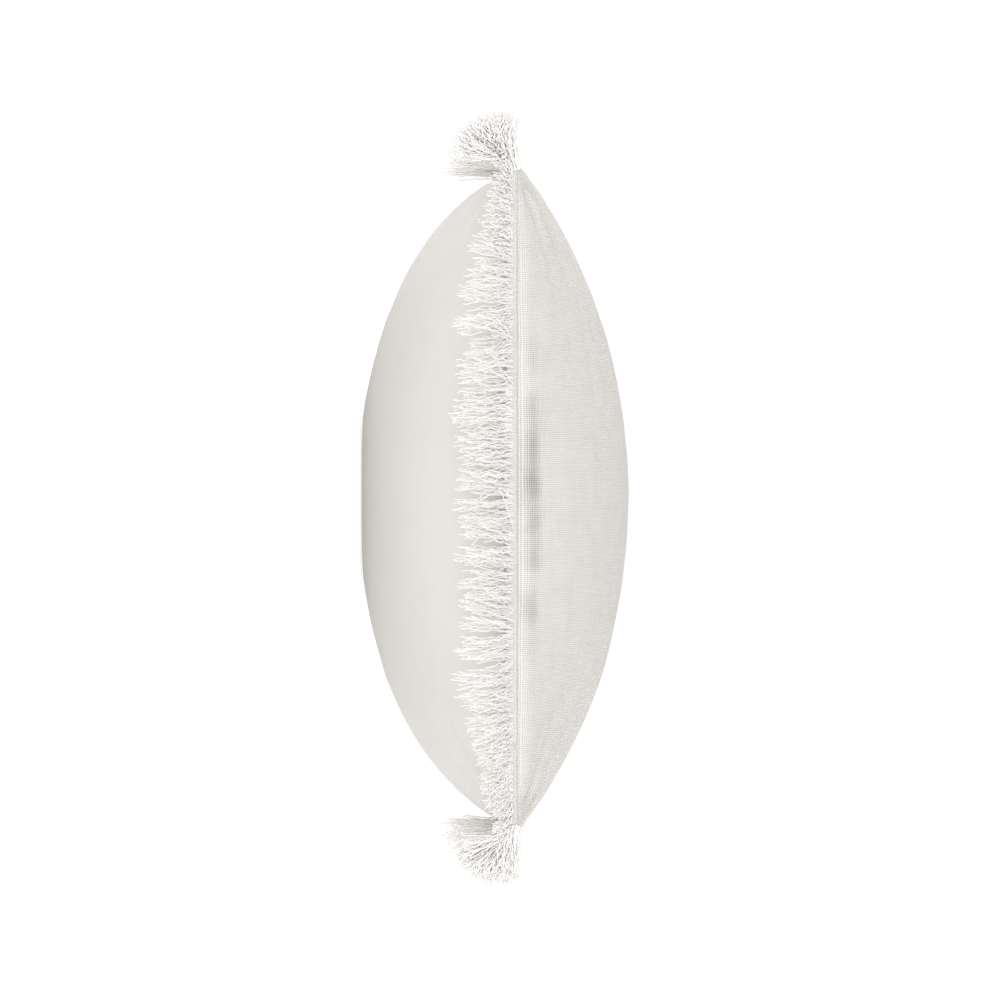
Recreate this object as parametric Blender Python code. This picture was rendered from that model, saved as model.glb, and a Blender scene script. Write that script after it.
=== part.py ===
"""Square throw pillow with a cut fringe, lying flat on its back panel.

Metres, +Z up. The origin is at the middle of the flat patch that the pillow rests on.
X and Y run along the sides of the cover. The zip is in the far side, at +Y.
"""
import math

import bmesh
import bpy
from mathutils import Matrix, Vector

# Stuffed cover
MIDDLE_WIDTH = 0.405        # between the middles of two opposite seams
EAR_LENGTH = 0.0065         # how far a corner stands out past the middle of its seams
TOTAL_HEIGHT = 0.170
SEAM_HEIGHT = 0.0985        # the seam's plane above the rest surface
FRONT_FULLNESS = 0.80       # power of the dome: smaller is fuller towards the seam
BACK_FULLNESS = 0.52
REST_FLATTENING = 0.0034    # depth of the back dome that is pressed flat where it rests

# Cloth
COVER_CLOTH = 0.0008
CASING_CLOTH = 0.0005
CLEARANCE = 0.0004          # kept between cloth, tape and thread that touch

# Insert
INSERT_MARGIN = 0.011       # from the cover's seam to the insert's seam
FILL_MARGIN = 0.003         # from the insert's seam to the edge of the fibre fill

# Fringe
TAPE_THICKNESS = 0.0012
TAPE_IN_SEAM = 0.008        # width of the header tape that is caught in the seam
TAPE_BAND = 0.006           # width of the header tape that hangs outside the seam
FRINGE_LENGTH = 0.034
FRINGE_ROOT = 0.0026        # thickness of the curtain of strands at the heading
FRINGE_SPREAD = 0.0090      # and at its cut ends
ROOT_DROOP = math.radians(40)   # below the horizontal where the strands leave the heading
TIP_DROOP = math.radians(82)
FRINGE_ROWS = 4
THREAD_RADIUS = 0.0004
PARTING_MARGIN = 0.002      # between the pull tab's sweep and the fringe that is parted for it

# Corner bunches of fringe
BUNCH_LENGTH = 0.034
BUNCH_NECK_RADIUS = 0.005
BUNCH_END_RADIUS = 0.018
BUNCH_DROOP = math.radians(35)
BUNCH_GAP = 0.0022          # from the cover's corner to the neck of the bunch

# Zip
ZIP_LENGTH = 0.300
ZIP_DROP = 0.0155           # centre line of the zip below the seam
ZIP_TAPE_WIDTH = 0.010
ZIP_TAPE_THICKNESS = 0.0006
ZIP_TAPE_ROWS = 3           # the row beside the teeth is flat, the others follow the panel
TEETH_WIDTH = 0.0023        # one row
TEETH_HEIGHT = 0.0018
TEETH_GAP = 0.0003
OPENING_WIDTH = 0.005       # slit in the back panel behind the teeth
CUTTER_REACH = 0.025        # how far the slit's cutter reaches on either side of the far wall
STOP_LENGTH = 0.003

# Slider and pull tab
SLIDER_LENGTH = 0.009
SLIDER_WALL = 0.0008
BRIDGE_LENGTH = 0.0044
BRIDGE_WIDTH = 0.0016
BRIDGE_BAR = 0.0008
BRIDGE_HOLE = 0.0019        # square hole that the tab's end bar turns in
TAB_LENGTH = 0.020
TAB_WIDTH = 0.0058
TAB_THICKNESS = 0.0010
TAB_WINDOW = 0.0030         # length of the window that the bridge passes through
RUNNING_CLEARANCE = 0.0003

# Mesh density
CELLS = 18                  # cells along a side of a panel
THREAD_SIDES = 6
SIDE_STATIONS = 14          # stretches along a seam
ROUND_SIDES = 12

# Worked out from the sizes above
HALF_MIDDLE = MIDDLE_WIDTH / 2
HALF_CORNER = HALF_MIDDLE + EAR_LENGTH
FURTHEST_SHARE = 0.98       # of the way to a corner, where the wall is last worked out
PANEL_GAP = TAPE_THICKNESS / 2 + CLEARANCE + COVER_CLOTH
BACK_RISE = SEAM_HEIGHT - PANEL_GAP + REST_FLATTENING
ZIP_HEIGHT = SEAM_HEIGHT - ZIP_DROP


def clear_scene():
    for item in list(bpy.data.objects):
        bpy.data.objects.remove(item, do_unlink=True)


def material(name, colour, roughness, metallic=0.0):
    mat = bpy.data.materials.new(name)
    mat.use_nodes = True
    shader = mat.node_tree.nodes["Principled BSDF"]
    shader.inputs["Base Color"].default_value = (*colour, 1.0)
    shader.inputs["Roughness"].default_value = roughness
    shader.inputs["Metallic"].default_value = metallic
    return mat


def add_object(name, bm, mat=None, parent=None):
    """Make the bmesh an object. Its vertices are in world coordinates unless it has a parent."""
    mesh = bpy.data.meshes.new(name)
    bm.to_mesh(mesh)
    bm.free()
    item = bpy.data.objects.new(name, mesh)
    bpy.context.scene.collection.objects.link(item)
    if mat:
        mesh.materials.append(mat)
    item.parent = parent
    return item


def smooth(item, angle=40):
    item.data.shade_smooth()
    item.data.set_sharp_from_angle(angle=math.radians(angle))


def solidify(item, thickness):
    wall = item.modifiers.new("cloth thickness", "SOLIDIFY")
    wall.thickness = thickness
    wall.offset = -1.0
    wall.use_even_offset = True


def cut_with(item, tool, operation):
    """Join to or cut from an object with a hidden tool."""
    tool.hide_render = True
    tool.display_type = "WIRE"
    step = item.modifiers.new(operation.lower(), "BOOLEAN")
    step.operation = operation
    step.object = tool
    step.solver = "EXACT"


def box(low, high):
    bm = bmesh.new()
    bmesh.ops.create_cube(bm, size=1.0)
    low, high = Vector(low), Vector(high)
    size = high - low
    place = Matrix.Translation((low + high) / 2) @ Matrix.Diagonal((*size, 1.0))
    bmesh.ops.transform(bm, matrix=place, verts=bm.verts)
    return bm


# ---------------------------------------------------------------- domes of the cover and the insert

def add_dome(bm, half_middle, base, rise, power, direction, floor):
    """One panel: a square grid with bowed sides, raised (direction 1) or lowered (-1) into a dome."""
    grid = bmesh.ops.create_grid(bm, x_segments=CELLS, y_segments=CELLS, size=1.0)
    for vert in grid["verts"]:
        u = math.sin(math.pi / 2 * vert.co.x)
        v = math.sin(math.pi / 2 * vert.co.y)
        dome = max(0.0, (1 - u * u) * (1 - v * v)) ** power
        vert.co.x = u * (half_middle + EAR_LENGTH * v * v)
        vert.co.y = v * (half_middle + EAR_LENGTH * u * u)
        vert.co.z = max(floor, base + direction * rise * dome)
    if direction < 0:
        faces = {face for vert in grid["verts"] for face in vert.link_faces}
        bmesh.ops.reverse_faces(bm, faces=list(faces))


def panel(name, inset, gap, front, floor, cloth, mat):
    """A panel of cloth. inset: distance in from the cover's own outside. gap: from the seam's plane."""
    bm = bmesh.new()
    direction = 1 if front else -1
    top = TOTAL_HEIGHT - floor
    reach = top - SEAM_HEIGHT - gap if front else SEAM_HEIGHT - gap - floor + REST_FLATTENING
    power = FRONT_FULLNESS if front else BACK_FULLNESS
    add_dome(bm, HALF_MIDDLE - inset, SEAM_HEIGHT + direction * gap, reach, power, direction, floor)
    item = add_object(name, bm, mat)
    if cloth:
        solidify(item, cloth)
    item.data.shade_smooth()
    return item


def cover_panels(front_mat, back_mat):
    panel("front_panel", 0.0, PANEL_GAP, True, 0.0, COVER_CLOTH, front_mat)
    back = panel("back_panel", 0.0, PANEL_GAP, False, 0.0, COVER_CLOTH, back_mat)
    slit = box((-ZIP_LENGTH / 2, HALF_MIDDLE - CUTTER_REACH, ZIP_HEIGHT - OPENING_WIDTH / 2),
               (ZIP_LENGTH / 2, HALF_MIDDLE + CUTTER_REACH, ZIP_HEIGHT + OPENING_WIDTH / 2))
    cut_with(back, add_object("zip_opening_cutter", slit), "DIFFERENCE")


def insert(casing_mat, fill_mat):
    casing_floor = COVER_CLOTH + CLEARANCE
    casing_gap = CLEARANCE + CASING_CLOTH
    for name, front in (("insert_casing_front", True), ("insert_casing_back", False)):
        panel(name, INSERT_MARGIN, casing_gap, front, casing_floor, CASING_CLOTH, casing_mat)
    fill_floor = casing_floor + CASING_CLOTH + CLEARANCE
    half = HALF_MIDDLE - INSERT_MARGIN - FILL_MARGIN
    bm = bmesh.new()
    front_rise = TOTAL_HEIGHT - fill_floor - SEAM_HEIGHT
    back_rise = SEAM_HEIGHT - fill_floor + REST_FLATTENING
    add_dome(bm, half, SEAM_HEIGHT, front_rise, FRONT_FULLNESS, 1, fill_floor)
    add_dome(bm, half, SEAM_HEIGHT, back_rise, BACK_FULLNESS, -1, fill_floor)
    bmesh.ops.remove_doubles(bm, verts=bm.verts, dist=0.00001)
    fill = add_object("fibre_fill", bm, fill_mat)
    fill.data.shade_smooth()


def back_wall(x, depth):
    """How far the back panel's outside stands from the middle plane, along a side and below the seam."""
    below = max(0.0, depth - PANEL_GAP)
    u = min(FURTHEST_SHARE, abs(x) / HALF_CORNER)
    used = (below / BACK_RISE) ** (1 / BACK_FULLNESS) / (1 - u * u)
    return math.sqrt(max(0.0, 1 - used)) * (HALF_MIDDLE + EAR_LENGTH * u * u)


# ---------------------------------------------------------------- strips that follow a seam

def seam_strip(name, section, turn, mat):
    """Sweep a closed section (distance out from the seam, height above it) along one seam."""
    half = strip_half_length()
    bm = bmesh.new()
    corners = [bm.verts.new((-half, out, up)) for out, up in section]
    end = bm.faces.new(corners)
    swept = bmesh.ops.extrude_face_region(bm, geom=[end], use_keep_orig=True)
    moved = [part for part in swept["geom"] if isinstance(part, bmesh.types.BMVert)]
    bmesh.ops.translate(bm, verts=moved, vec=(2 * half, 0, 0))
    for station in range(1, SIDE_STATIONS):
        x = half * (2 * station / SIDE_STATIONS - 1)
        everything = bm.verts[:] + bm.edges[:] + bm.faces[:]
        bmesh.ops.bisect_plane(bm, geom=everything, plane_co=(x, 0, 0), plane_no=(1, 0, 0))
    for vert in bm.verts:
        bowed = HALF_MIDDLE + EAR_LENGTH * (vert.co.x / HALF_CORNER) ** 2
        vert.co.y += bowed
        vert.co.z += SEAM_HEIGHT
    bmesh.ops.recalc_face_normals(bm, faces=bm.faces)
    bmesh.ops.rotate(bm, verts=bm.verts, matrix=Matrix.Rotation(turn, 3, "Z"))
    strip = add_object(name, bm, mat)
    smooth(strip)
    return strip


def strip_half_length():
    """A strip stops before the inner edge of the tape that is caught in the next side's seam."""
    return HALF_MIDDLE - TAPE_IN_SEAM - CLEARANCE


def tape_section(stand_off):
    half = TAPE_THICKNESS / 2
    inner = CLEARANCE + stand_off
    outer = inner + TAPE_THICKNESS
    return [(-TAPE_IN_SEAM, half), (outer, half), (outer, -TAPE_BAND), (inner, -TAPE_BAND),
            (inner, -half), (-TAPE_IN_SEAM, -half)]


def fringe_section(stand_off):
    """A curtain of strands that leaves the heading outwards, droops, and spreads towards its cut ends."""
    lift = FRINGE_ROOT / 2
    out = stand_off + CLEARANCE + lift * math.sin(ROOT_DROOP)
    up = -(TAPE_BAND + CLEARANCE + lift * math.cos(ROOT_DROOP))
    below, above = [], []
    for row in range(FRINGE_ROWS + 1):
        share = row / FRINGE_ROWS
        droop = ROOT_DROOP + (TIP_DROOP - ROOT_DROOP) * share
        half = (FRINGE_ROOT + (FRINGE_SPREAD - FRINGE_ROOT) * share) / 2
        below.append((out - half * math.sin(droop), up - half * math.cos(droop)))
        above.append((out + half * math.sin(droop), up + half * math.cos(droop)))
        out += FRINGE_LENGTH / FRINGE_ROWS * math.cos(droop)
        up -= FRINGE_LENGTH / FRINGE_ROWS * math.sin(droop)
    return below + above[::-1]


def thread_section():
    middle = TAPE_THICKNESS / 2 + CLEARANCE + THREAD_RADIUS
    angles = [2 * math.pi * side / THREAD_SIDES for side in range(THREAD_SIDES)]
    return [(THREAD_RADIUS * (1 + math.cos(a)), THREAD_RADIUS * math.sin(a) + middle) for a in angles]


def zip_stack():
    """Distances out from the middle plane: tape, teeth, slider plate, tab's axis, and room for the bridge."""
    flat_edge = ZIP_DROP - TEETH_GAP - ZIP_TAPE_WIDTH / ZIP_TAPE_ROWS
    half = ZIP_LENGTH / 2 + STOP_LENGTH
    highest_wall = max(back_wall(half * step / SIDE_STATIONS, flat_edge) for step in range(SIDE_STATIONS + 1))
    tape = highest_wall + CLEARANCE
    teeth = tape + ZIP_TAPE_THICKNESS + RUNNING_CLEARANCE
    plate = teeth + TEETH_HEIGHT + RUNNING_CLEARANCE
    axis = plate + SLIDER_WALL + RUNNING_CLEARANCE / 2 + BRIDGE_HOLE / 2
    room = axis + BRIDGE_HOLE / 2 + BRIDGE_BAR + 2 * RUNNING_CLEARANCE
    return tape, teeth, plate, axis, room


def fringe(tape_mat, fringe_mat, thread_mat):
    zip_room = zip_stack()[4] - HALF_MIDDLE
    sides = (("far", 0, zip_room), ("left", 90, 0.0), ("near", 180, 0.0), ("right", 270, 0.0))
    for side, degrees, stand_off in sides:
        turn = math.radians(degrees)
        seam_strip("header_tape_" + side, tape_section(stand_off), turn, tape_mat)
        strip = seam_strip("fringe_" + side, fringe_section(stand_off), turn, fringe_mat)
        if side == "far":
            part_for_slider(strip)
        seam_strip("seam_thread_" + side, thread_section(), turn, thread_mat)


def slider_start():
    """X of the closed slider's middle, which is also the tab's hinge axis."""
    return -ZIP_LENGTH / 2 + STOP_LENGTH + RUNNING_CLEARANCE + SLIDER_LENGTH / 2


def part_for_slider(strip):
    """The fringe is parted over the closed slider, so that the pull tab can swing out."""
    reach = TAB_LENGTH + PARTING_MARGIN
    top = ZIP_HEIGHT + TAB_WIDTH / 2 + PARTING_MARGIN
    low = (slider_start() - reach, HALF_MIDDLE, SEAM_HEIGHT - TAPE_BAND - 2 * FRINGE_LENGTH)
    high = (slider_start() + reach, HALF_MIDDLE + 2 * FRINGE_LENGTH, top)
    cut_with(strip, add_object("fringe_parting_cutter", box(low, high)), "DIFFERENCE")


def corner_bunches(mat):
    """Each bunch is a turned body: a neck at the corner that flares to a rounded, drooping end."""
    profile = [(0.0, 0.0), (0.0, BUNCH_NECK_RADIUS), (0.2, BUNCH_NECK_RADIUS * 1.3),
               (0.65, BUNCH_END_RADIUS * 0.85), (0.88, BUNCH_END_RADIUS),
               (1.0, BUNCH_END_RADIUS * 0.8), (1.0, 0.0)]
    names = (("far_right", 45), ("far_left", 135), ("near_left", 225), ("near_right", 315))
    for corner, degrees in names:
        bm = bmesh.new()
        points = [bm.verts.new((radius, 0, BUNCH_LENGTH * share)) for share, radius in profile]
        edges = [bm.edges.new(pair) for pair in zip(points, points[1:])]
        bmesh.ops.spin(bm, geom=points + edges, axis=(0, 0, 1), cent=(0, 0, 0), angle=2 * math.pi,
                       steps=ROUND_SIDES, use_merge=True, use_duplicate=False)
        bmesh.ops.remove_doubles(bm, verts=bm.verts, dist=0.00001)
        bmesh.ops.recalc_face_normals(bm, faces=bm.faces)
        outward = Matrix.Rotation(math.radians(degrees), 4, "Z")
        droop = Matrix.Rotation(math.pi / 2 + BUNCH_DROOP, 4, "Y")
        tip = Vector((math.sqrt(2) * HALF_CORNER + BUNCH_GAP, 0, SEAM_HEIGHT))
        place = outward @ Matrix.Translation(tip) @ droop
        bmesh.ops.transform(bm, matrix=place, verts=bm.verts)
        smooth(add_object("corner_fringe_" + corner, bm, mat))


# ---------------------------------------------------------------- zip

def zip_tapes(mat):
    tape_y = zip_stack()[0]
    half = ZIP_LENGTH / 2 + STOP_LENGTH
    for name, side in (("zip_tape_upper", 1), ("zip_tape_lower", -1)):
        bm = bmesh.new()
        grid = bmesh.ops.create_grid(bm, x_segments=SIDE_STATIONS, y_segments=ZIP_TAPE_ROWS, size=0.5)
        for vert in grid["verts"]:
            x = 2 * half * vert.co.x
            across = TEETH_GAP + ZIP_TAPE_WIDTH * (vert.co.y + 0.5)
            depth = ZIP_DROP - side * across
            vert.co = (x, max(tape_y, back_wall(x, depth) + CLEARANCE), SEAM_HEIGHT - depth)
        faces = bm.faces[:]
        bmesh.ops.recalc_face_normals(bm, faces=faces)
        if faces[0].normal.y > 0:
            bmesh.ops.reverse_faces(bm, faces=faces)
        solidify(add_object(name, bm, mat), ZIP_TAPE_THICKNESS)


def zip_teeth(mat):
    teeth_y = zip_stack()[1]
    half = ZIP_LENGTH / 2 - STOP_LENGTH
    for name, side in (("zip_teeth_upper", 1), ("zip_teeth_lower", -1)):
        near = ZIP_HEIGHT + side * TEETH_GAP / 2
        far = near + side * TEETH_WIDTH
        low, high = min(near, far), max(near, far)
        add_object(name, box((-half, teeth_y, low), (half, teeth_y + TEETH_HEIGHT, high)), mat)


def zip_stops(mat):
    teeth_y = zip_stack()[1]
    end = ZIP_LENGTH / 2
    inner = end - STOP_LENGTH + RUNNING_CLEARANCE
    wide = TEETH_WIDTH
    stops = (("zip_top_stop_upper", -end, -inner, TEETH_GAP, wide),
             ("zip_top_stop_lower", -end, -inner, -wide, -TEETH_GAP),
             ("zip_bottom_stop", inner, end, -wide, wide))
    for name, left, right, low, high in stops:
        stop = box((left, teeth_y, ZIP_HEIGHT + low), (right, teeth_y + TEETH_HEIGHT, ZIP_HEIGHT + high))
        add_object(name, stop, mat)


def slider_and_tab(mat):
    """Both have their origin on the tab's hinge axis, which is also the slider's reference point."""
    tape_y, _, plate_y, axis_y, _ = zip_stack()
    pivot = bpy.data.objects.new("zip_slider_place", None)
    bpy.context.scene.collection.objects.link(pivot)
    pivot.location = (slider_start(), axis_y, ZIP_HEIGHT)

    plate_in = plate_y - axis_y
    plate_out = plate_in + SLIDER_WALL
    flange_in = tape_y + ZIP_TAPE_THICKNESS + RUNNING_CLEARANCE - axis_y
    inside = TEETH_GAP / 2 + TEETH_WIDTH + RUNNING_CLEARANCE
    outside = inside + SLIDER_WALL
    section = [(plate_out, -outside), (plate_out, outside), (flange_in, outside), (flange_in, inside),
               (plate_in, inside), (plate_in, -inside), (flange_in, -inside), (flange_in, -outside)]
    bm = bmesh.new()
    corners = [bm.verts.new((-SLIDER_LENGTH / 2, y, z)) for y, z in section]
    end = bm.faces.new(corners)
    swept = bmesh.ops.extrude_face_region(bm, geom=[end], use_keep_orig=True)
    moved = [part for part in swept["geom"] if isinstance(part, bmesh.types.BMVert)]
    bmesh.ops.translate(bm, verts=moved, vec=(SLIDER_LENGTH, 0, 0))
    bmesh.ops.recalc_face_normals(bm, faces=bm.faces)
    slider = add_object("zip_slider", bm, mat, pivot)

    hole = BRIDGE_HOLE / 2
    rooted = plate_out - SLIDER_WALL / 2
    bridge = box((-BRIDGE_LENGTH / 2, rooted, -BRIDGE_WIDTH / 2),
                 (BRIDGE_LENGTH / 2, hole + BRIDGE_BAR, BRIDGE_WIDTH / 2))
    cut_with(slider, add_object("slider_bridge_tool", bridge, None, pivot), "UNION")
    eye = box((-hole, -hole, -BRIDGE_WIDTH), (hole, hole, BRIDGE_WIDTH))
    cut_with(slider, add_object("slider_eye_cutter", eye, None, pivot), "DIFFERENCE")

    bar = TAB_THICKNESS / 2
    blank = box((-bar, -bar, -TAB_WIDTH / 2), (TAB_LENGTH, bar, TAB_WIDTH / 2))
    tab = add_object("zip_pull_tab", blank, mat, pivot)
    half_window = BRIDGE_WIDTH / 2 + RUNNING_CLEARANCE
    window = box((bar, -TAB_THICKNESS, -half_window), (bar + TAB_WINDOW, TAB_THICKNESS, half_window))
    cut_with(tab, add_object("tab_window_cutter", window, None, pivot), "DIFFERENCE")


clear_scene()
front_cloth = material("front_cloth", (0.78, 0.75, 0.71), 0.95)
back_cloth = material("back_cloth", (0.80, 0.77, 0.73), 0.95)
header_cotton = material("header_cotton", (0.82, 0.79, 0.75), 0.95)
fringe_cotton = material("fringe_cotton", (0.84, 0.82, 0.78), 0.95)
sewing_thread = material("sewing_thread", (0.84, 0.82, 0.78), 0.8)
casing_cloth = material("casing_cloth", (0.86, 0.86, 0.85), 0.9)
polyester_fibre = material("polyester_fibre", (0.9, 0.9, 0.9), 0.95)
zip_ribbon = material("zip_ribbon", (0.82, 0.79, 0.75), 0.85)
zip_nylon = material("zip_nylon", (0.80, 0.78, 0.74), 0.45)
painted_zinc = material("painted_zinc", (0.80, 0.78, 0.74), 0.4)

cover_panels(front_cloth, back_cloth)
insert(casing_cloth, polyester_fibre)
fringe(header_cotton, fringe_cotton, sewing_thread)
corner_bunches(fringe_cotton)
zip_tapes(zip_ribbon)
zip_teeth(zip_nylon)
zip_stops(zip_nylon)
slider_and_tab(painted_zinc)
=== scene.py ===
import math
import random

import bmesh
import bpy
import numpy as np
from mathutils import Matrix, Vector, noise


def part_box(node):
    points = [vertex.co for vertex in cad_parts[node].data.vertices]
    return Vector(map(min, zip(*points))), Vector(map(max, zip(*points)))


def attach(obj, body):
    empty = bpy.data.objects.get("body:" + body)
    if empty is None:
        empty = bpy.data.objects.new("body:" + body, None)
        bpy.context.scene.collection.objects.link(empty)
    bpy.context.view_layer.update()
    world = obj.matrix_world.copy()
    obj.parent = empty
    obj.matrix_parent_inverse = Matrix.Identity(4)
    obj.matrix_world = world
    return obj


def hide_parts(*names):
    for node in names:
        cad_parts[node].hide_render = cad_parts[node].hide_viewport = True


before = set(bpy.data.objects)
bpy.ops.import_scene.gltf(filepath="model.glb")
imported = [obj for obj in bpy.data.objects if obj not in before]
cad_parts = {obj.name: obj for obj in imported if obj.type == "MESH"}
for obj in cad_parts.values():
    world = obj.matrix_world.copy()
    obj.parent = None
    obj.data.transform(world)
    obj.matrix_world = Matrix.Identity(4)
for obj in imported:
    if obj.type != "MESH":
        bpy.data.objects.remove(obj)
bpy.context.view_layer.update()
scene = bpy.context.scene

# ---------------------------------------------------------------- viewpoint
# The pillow lies on its back panel and is seen edge on from a distance, level with its middle
# and turned so that the seam stands upright in the frame.
CAMERA_DISTANCE = 8.0
CAMERA_HEIGHT = 0.0879
CAMERA_SIDE = 0.0013
FRAME_WIDTH = 0.637         # metres across the frame at the pillow's middle

camera_data = bpy.data.cameras.new("camera")
camera_data.lens = 36 * CAMERA_DISTANCE / FRAME_WIDTH
camera_data.clip_end = 30
camera = bpy.data.objects.new("camera", camera_data)
scene.collection.objects.link(camera)
camera.matrix_world = Matrix(((0, -1, 0, CAMERA_SIDE), (0, 0, -1, -CAMERA_DISTANCE),
                              (1, 0, 0, CAMERA_HEIGHT), (0, 0, 0, 1)))
scene.camera = camera

# ---------------------------------------------------------------- stuffed cover
# Two squares of cotton sewn together along their edges and filled until they are nearly tight.
# The front is a coarse open weave, the back a finer and denser one. The fill pushes the flat cloth
# into a dome, which pulls the seams in between the corners and leaves tucks at the corners.
CUT_WIDTH = 0.457           # cloth between two seams before it was filled
HALF_MIDDLE = 0.2025        # from the middle of the pillow to the middle of a seam
EAR_LENGTH = 0.0065         # how far a corner stands out past the middle of its seams
HALF_CORNER = HALF_MIDDLE + EAR_LENGTH
SEAM_HEIGHT = (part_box("header_tape_near")[1].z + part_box("back_panel")[1].z) / 2 + 0.00025
PILLOW_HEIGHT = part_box("front_panel")[1].z
SEAM_GAP = 0.0006           # from the seam's plane to the cloth on either side
CLOTH_THICKNESS = 0.0008
REST_FLATTENING = 0.0034    # depth of the back's dome that is pressed flat where it rests
CLOTH_CELLS = 100
SIMULATED_RISE = 0.085
FILLING_FRAMES = 20
# Folds that fan out from a corner: the angle from one seam, the depth, and how far the fold reaches.
CORNER_TUCKS = ((0.95, 0.0076, 0.080), (0.62, 0.0052, 0.075), (1.24, 0.0018, 0.06))
CREST_ANGLE = 0.775         # the ridge left standing between the two deepest tucks
CREST_HEIGHT = 0.0038
LIP_DROP = 0.0005           # how far the front panel's edge rolls down over the fringe heading
LIP_REACH = 0.0045          # how far in from the seam that roll reaches
CONTACT_SOFTNESS = 0.001    # rounding where the cloth leaves the surface it rests on
INSERT_LIFT = 0.06          # how much a lower insert is raised, for each part of height it loses

cloth_bm = bmesh.new()
flat_place = cloth_bm.verts.layers.float_vector.new("flat")
is_back = cloth_bm.faces.layers.int.new("back")
for direction in (1, -1):
    grid = bmesh.ops.create_grid(cloth_bm, x_segments=CLOTH_CELLS, y_segments=CLOTH_CELLS, size=1.0)
    for vert in grid["verts"]:
        s, t = vert.co.x, vert.co.y
        vert[flat_place] = Vector((s, t, 0)) * CUT_WIDTH / 2
        dome = max(0.0, (1 - s * s) * (1 - t * t)) ** 0.7
        uneven = 0.0007 * noise.noise(Vector((s * 9, t * 9, direction * 7))) * dome ** 0.3
        vert.co = (s * (HALF_MIDDLE + EAR_LENGTH * t * t), t * (HALF_MIDDLE + EAR_LENGTH * s * s),
                   direction * SIMULATED_RISE * dome + uneven)
    faces = list({face for vert in grid["verts"] for face in vert.link_faces})
    for face in faces:
        face[is_back] = direction < 0
    if direction < 0:
        bmesh.ops.reverse_faces(cloth_bm, faces=faces)
bmesh.ops.remove_doubles(cloth_bm, verts=cloth_bm.verts, dist=0.00001)
cloth_bm.verts.index_update()
flat_points = np.array([vert[flat_place][:] for vert in cloth_bm.verts])
seam_points = np.flatnonzero(np.abs(flat_points).max(axis=1) > CUT_WIDTH / 2 - 1e-6)
cloth_mesh = bpy.data.meshes.new("filled_cloth")
cloth_bm.to_mesh(cloth_mesh)
cloth_bm.free()

def settled_mesh(holder):
    """The mesh that a helper object ends up with. The helper itself is thrown away."""
    depsgraph = bpy.context.evaluated_depsgraph_get()
    made = bpy.data.meshes.new_from_object(holder.evaluated_get(depsgraph))
    bpy.data.objects.remove(holder)
    return made


filled = bpy.data.objects.new("filled_cloth", cloth_mesh)
scene.collection.objects.link(filled)
filled.shape_key_add(name="Basis")
cut_shape = filled.shape_key_add(name="cut")
cut_shape.value = 0.0
cut_shape.data.foreach_set("co", flat_points.astype(np.float32).ravel())
filled.vertex_groups.new(name="seam").add(seam_points.tolist(), 1.0, "REPLACE")
filling = filled.modifiers.new("filling", "CLOTH")
filling.collision_settings.use_collision = False
filling.point_cache.frame_start = 1
filling.point_cache.frame_end = FILLING_FRAMES
cloth = filling.settings
cloth.rest_shape_key = cut_shape
cloth.vertex_group_mass = "seam"
cloth.quality = 6
cloth.mass = 0.15
cloth.tension_stiffness = cloth.compression_stiffness = 30
cloth.shear_stiffness = 8
cloth.bending_stiffness = 0.6
cloth.tension_damping = cloth.compression_damping = cloth.shear_damping = 8
cloth.bending_damping = 1.0
cloth.air_damping = 2
cloth.use_pressure = True
cloth.uniform_pressure_force = 5.0
cloth.effector_weights.gravity = 0
for step in range(1, FILLING_FRAMES + 1):
    scene.frame_set(step)
cloth_mesh = settled_mesh(filled)


def fade(distance, reach):
    return math.exp(-(distance / reach) ** 2)


def seam_pull_and_shade(place):
    """From 0 to 1, how hard the stitching pulls the front's open weave apart beside a seam.
    It dents the cloth a little, and sets how much painted shade darkens the pulled-open gaps.
    """
    from_sides = CUT_WIDTH / 2 - abs(place.x), CUT_WIDTH / 2 - abs(place.y)
    edge = min(from_sides)
    along = place.y if from_sides[0] < from_sides[1] else place.x
    side = 3.0 * (from_sides[0] < from_sides[1]) + (1.0 if place.x + place.y > 0 else 0.0)
    patchy = 0.62 + 1.2 * noise.noise(Vector((along * 45, side, 2.0)))
    return fade(edge - 0.0078, 0.0050) * fade(along, 0.080) * max(0.0, patchy)


def crease_depth(place, direction):
    """How far the sewn cloth stands out (or in, below 0) at a place on the flat cut."""
    from_sides = CUT_WIDTH / 2 - abs(place.x), CUT_WIDTH / 2 - abs(place.y)
    edge = min(from_sides)
    by_x_side = from_sides[0] < from_sides[1]
    along = place.y if by_x_side else place.x
    side = 3.0 * by_x_side + (1.0 if (place.x if by_x_side else place.y) > 0 else 0.0) + 7 * direction
    settled = edge / (edge + 0.004)
    off_diagonal = min(1.0, abs(from_sides[0] - from_sides[1]) / 0.03)
    puckers = noise.noise(Vector((along * 75, side * 5.1, 0.3))) * 0.0026 * math.exp(-edge / 0.016)
    folds = noise.noise(Vector((along * 26, edge * 6, side * 2.7))) * 0.0026 * math.exp(-edge / 0.07)
    body = noise.noise(Vector((place.x * 11, place.y * 11, direction * 4.0))) * 0.0011
    corner = math.hypot(*from_sides)
    angle = math.atan2(*from_sides)
    tuck = 0.0
    for lean, depth, reach in CORNER_TUCKS:
        away = corner * math.sin(angle - lean)
        tuck -= depth * fade(away, 0.0030 + 0.022 * corner) * min(1.0, corner / 0.02) * fade(corner, reach)
    crest = CREST_HEIGHT * fade(corner * math.sin(angle - CREST_ANGLE), 0.0045)
    tuck += crest * min(1.0, corner / 0.02) * fade(corner, 0.09)
    depth = settled * off_diagonal * (puckers + folds) + settled * body + tuck
    return depth - 0.0012 * seam_pull_and_shade(place) if direction > 0 else 0.5 * depth


def rim_lift(share):
    """The fill pushes hardest just inside the seam, so the front starts more steeply there."""
    return 0.035 * (share / 0.1) * math.exp(1 - share / 0.1)


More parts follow.
